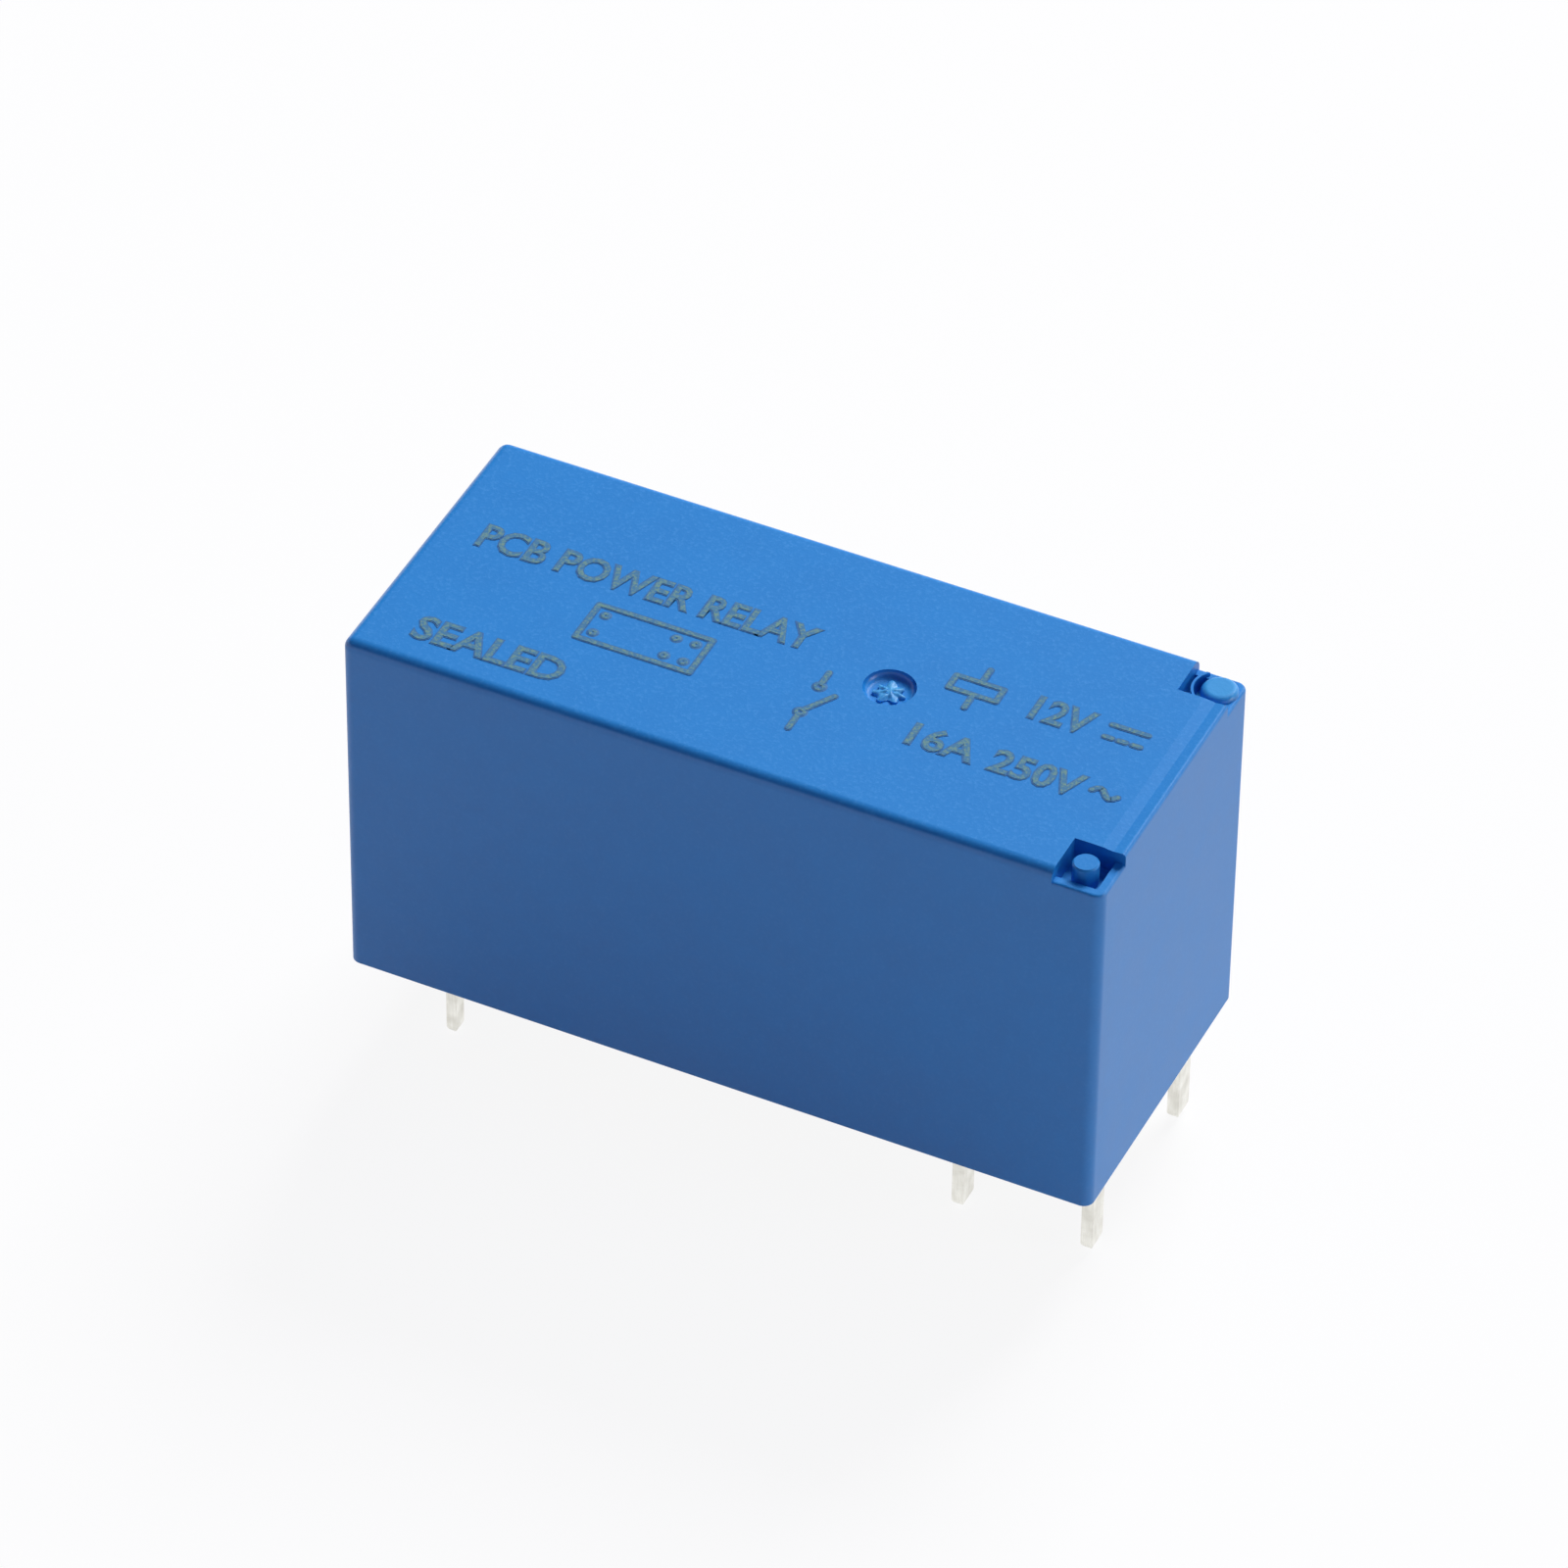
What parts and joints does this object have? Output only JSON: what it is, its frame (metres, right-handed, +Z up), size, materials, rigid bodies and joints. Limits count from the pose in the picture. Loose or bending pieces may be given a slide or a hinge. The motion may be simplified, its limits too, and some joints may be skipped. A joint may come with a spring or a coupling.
{
  "type": "pcb power relay",
  "caption": "Slim blue sealed power relay for a circuit board: box-shaped cover, coil pins at one end, contact pins at the other, and a working magnet, pusher card and contact inside.",
  "frame": {"origin": "centre of the cover's footprint in the seating plane, the flat lower rim of the cover", "axes": "+Z up, away from the circuit board; +X along the length, from the coil pins to the contact pins; +Y across the width"},
  "size_m": [0.029, 0.0124, 0.0192],
  "materials": {
    "cover_plastic": "moulded polyester, light blue, fine satin texture",
    "base_plastic": "moulded polyester, black",
    "potting_resin": "cast epoxy, smooth",
    "bobbin_plastic": "moulded polyester, natural",
    "card_plastic": "moulded polyester, natural",
    "enamelled_wire": "enamelled copper wire",
    "soft_iron": "plated soft iron",
    "spring_steel": "rolled spring steel",
    "tinned_wire": "tinned copper wire",
    "tinned_strip": "stamped tinned copper strip",
    "spring_bronze": "rolled copper spring strip",
    "silver_alloy": "headed silver alloy",
    "rivet_copper": "headed copper"
  },
  "bodies": {
    "housing": {"cover": "cover_plastic", "base": "base_plastic", "sealing_resin": "potting_resin", "bobbin": "bobbin_plastic", "coil_winding": "enamelled_wire", "core": "soft_iron", "yoke": "soft_iron", "armature_spring": "spring_steel", "coil_terminal_1": "tinned_wire", "coil_terminal_2": "tinned_wire", "coil_lead_1": "enamelled_wire", "coil_lead_2": "enamelled_wire", "common_terminal": "tinned_strip", "spring_rivet_1": "rivet_copper", "spring_rivet_2": "rivet_copper", "no_terminal": "tinned_strip", "fixed_contact": "silver_alloy"},
    "armature": {"armature": "soft_iron"},
    "card": {"actuator_card": "card_plastic"},
    "contact_arm": {"moving_spring": "spring_bronze", "moving_contact": "silver_alloy"}
  },
  "joints": [
    {"name": "armature_hinge", "type": "hinge", "parent": "housing", "child": "armature", "pos_m": [-0.01133, 0, 0.00248], "axis": [0, 1, 0], "range_deg": [0, 6]},
    {"name": "card_slide", "type": "slide", "parent": "housing", "child": "card", "axis": [1, 0, 0], "range_m": [0, 0.00108], "stiffness_N_per_m": 187, "springref_m": -0.00062},
    {"name": "contact_swing", "type": "hinge", "parent": "housing", "child": "contact_arm", "pos_m": [0.00894, 0, 0.0046], "axis": [0, 1, 0], "range_deg": [0, 7.55], "deforming": ["moving_spring"]}
  ],
  "couplings": [
    {"joint": "armature_hinge", "follows": "card_slide", "rad_per_m": 96.618},
    {"joint": "contact_swing", "follows": "card_slide", "rad_per_m": 121.51}
  ]
}
